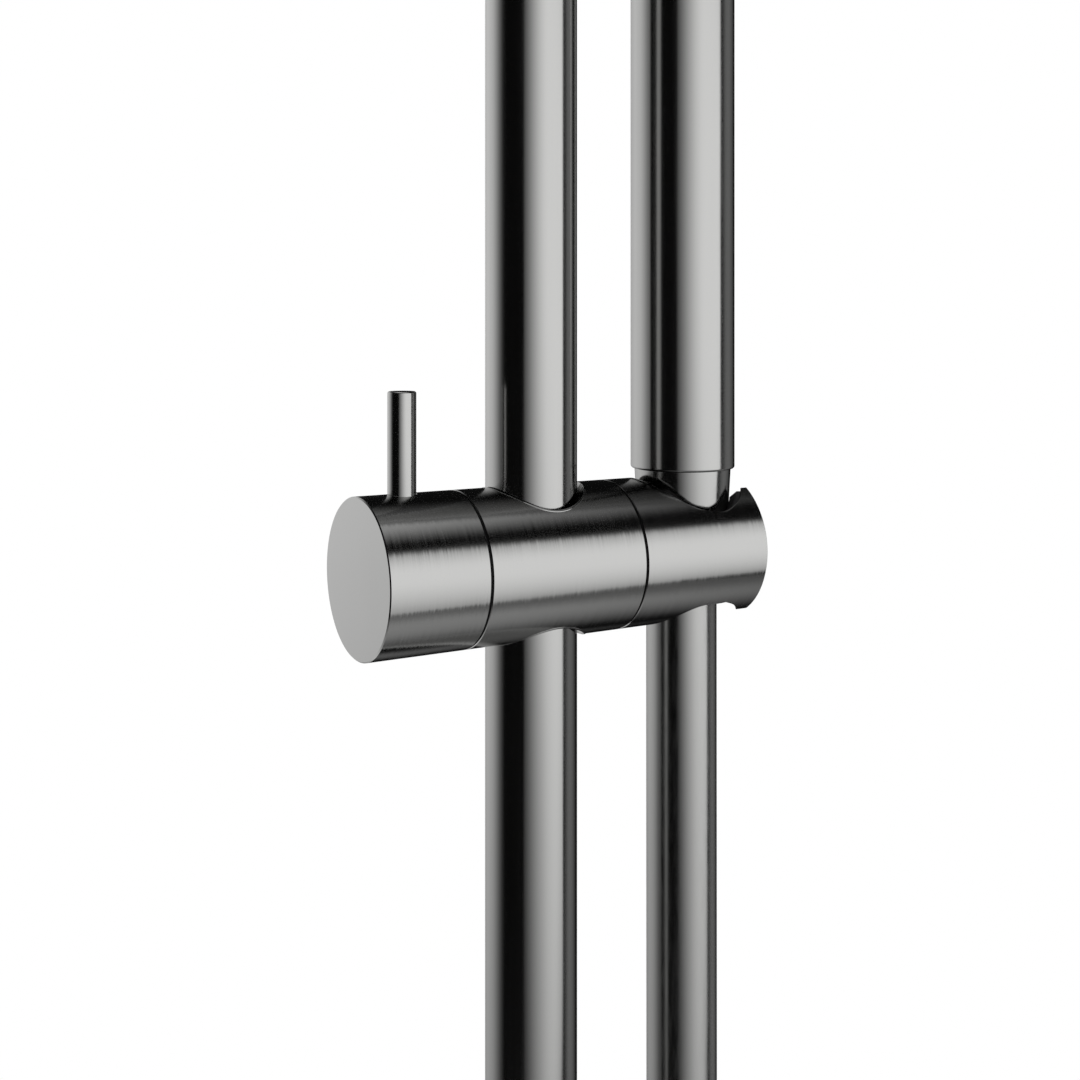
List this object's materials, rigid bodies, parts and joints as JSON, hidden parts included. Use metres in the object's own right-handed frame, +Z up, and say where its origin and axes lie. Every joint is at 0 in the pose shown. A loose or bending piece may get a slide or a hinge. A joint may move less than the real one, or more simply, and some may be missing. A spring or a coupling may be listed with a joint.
{
  "type": "shower slide rail",
  "caption": "Round wall-mounted shower slide rail with a clamping barrel slider, stick hand shower and smooth hose.",
  "frame": {"origin": "in the wall plane, midway between the two wall fixings", "axes": "+X along the slider towards the hand shower, +Y into the wall, +Z up the rail"},
  "size_m": [0.1152, 0.1969, 0.7862],
  "materials": {
    "rail_metal": "gunmetal plated tube, satin",
    "slider_metal": "gunmetal plated, brushed around its axis",
    "handset_metal": "gunmetal plated tube, satin",
    "nut_metal": "gunmetal plated, turned",
    "pin_metal": "gunmetal plated pin",
    "wall_metal": "gunmetal plated, turned",
    "inner_brass": "turned, unplated",
    "screw_steel": "stainless",
    "bearing_plastic": "black acetal",
    "housing_plastic": "dark moulded",
    "plate_plastic": "black moulded",
    "seal_rubber": "black",
    "nozzle_rubber": "dark grey silicone",
    "hose_skin": "smooth metal-look hose, satin",
    "tie_plastic": "black strap"
  },
  "bodies": {
    "wall_rail": {"rail_tube": "rail_metal", "upper_wall_disc": "inner_brass", "upper_bracket_arm": "wall_metal", "upper_rosette": "wall_metal", "upper_grub_screw": "screw_steel", "upper_rail_cap": "wall_metal", "upper_rail_anchor": "inner_brass", "upper_arm_stud": "screw_steel", "lower_wall_disc": "inner_brass", "lower_bracket_arm": "wall_metal", "lower_rosette": "wall_metal", "lower_grub_screw": "screw_steel", "lower_rail_cap": "wall_metal", "lower_rail_anchor": "inner_brass", "lower_arm_stud": "screw_steel"},
    "glide": {"upper_guide_bush": "bearing_plastic", "lower_guide_bush": "bearing_plastic"},
    "slider": {"slider_body": "slider_metal", "knob_washer": "bearing_plastic", "tilt_washer": "bearing_plastic", "pivot_screw": "screw_steel", "pivot_spring_washer": "screw_steel", "hose_hank": "hose_skin", "rear_hank_tie": "tie_plastic", "front_hank_tie": "tie_plastic", "hose_end_nut": "nut_metal", "hose_end_seal": "seal_rubber"},
    "pad": {"clamp_pad": "bearing_plastic"},
    "knob": {"clamp_knob": "slider_metal", "clamp_spindle": "screw_steel", "lever_pin": "pin_metal"},
    "holder": {"holder_body": "slider_metal", "holder_insert": "bearing_plastic", "hose_cone_nut": "nut_metal", "hose_ferrule": "inner_brass", "hose_seal": "seal_rubber", "hose_tube": "hose_skin", "handset_tube": "handset_metal", "handset_cap": "handset_metal", "handset_inlet": "inner_brass", "handset_waterway": "housing_plastic", "spray_housing": "housing_plastic", "spray_plate": "plate_plastic", "nozzle_mat": "nozzle_rubber"}
  },
  "joints": [
    {"name": "slider_slide", "type": "slide", "parent": "wall_rail", "child": "glide", "axis": [0, 0, 1], "range_m": [-0.362, 0.16]},
    {"name": "slider_swing", "type": "hinge", "parent": "glide", "child": "slider", "pos_m": [0, -0.055, 0.09], "axis": [0, 0, -1], "range_deg": [-15, 90]},
    {"name": "knob_turn", "type": "hinge", "parent": "slider", "child": "knob", "pos_m": [0, -0.055, 0.09], "axis": [1, 0, 0], "range_deg": [0, 90]},
    {"name": "pad_press", "type": "slide", "parent": "slider", "child": "pad", "axis": [-1, 0, 0], "range_m": [0, 0.00032]},
    {"name": "holder_tilt", "type": "hinge", "parent": "slider", "child": "holder", "pos_m": [0, -0.055, 0.09], "axis": [1, 0, 0], "range_deg": [-5, 30]}
  ],
  "couplings": [
    {"joint": "pad_press", "follows": "knob_turn", "m_per_rad": 0.000199}
  ]
}
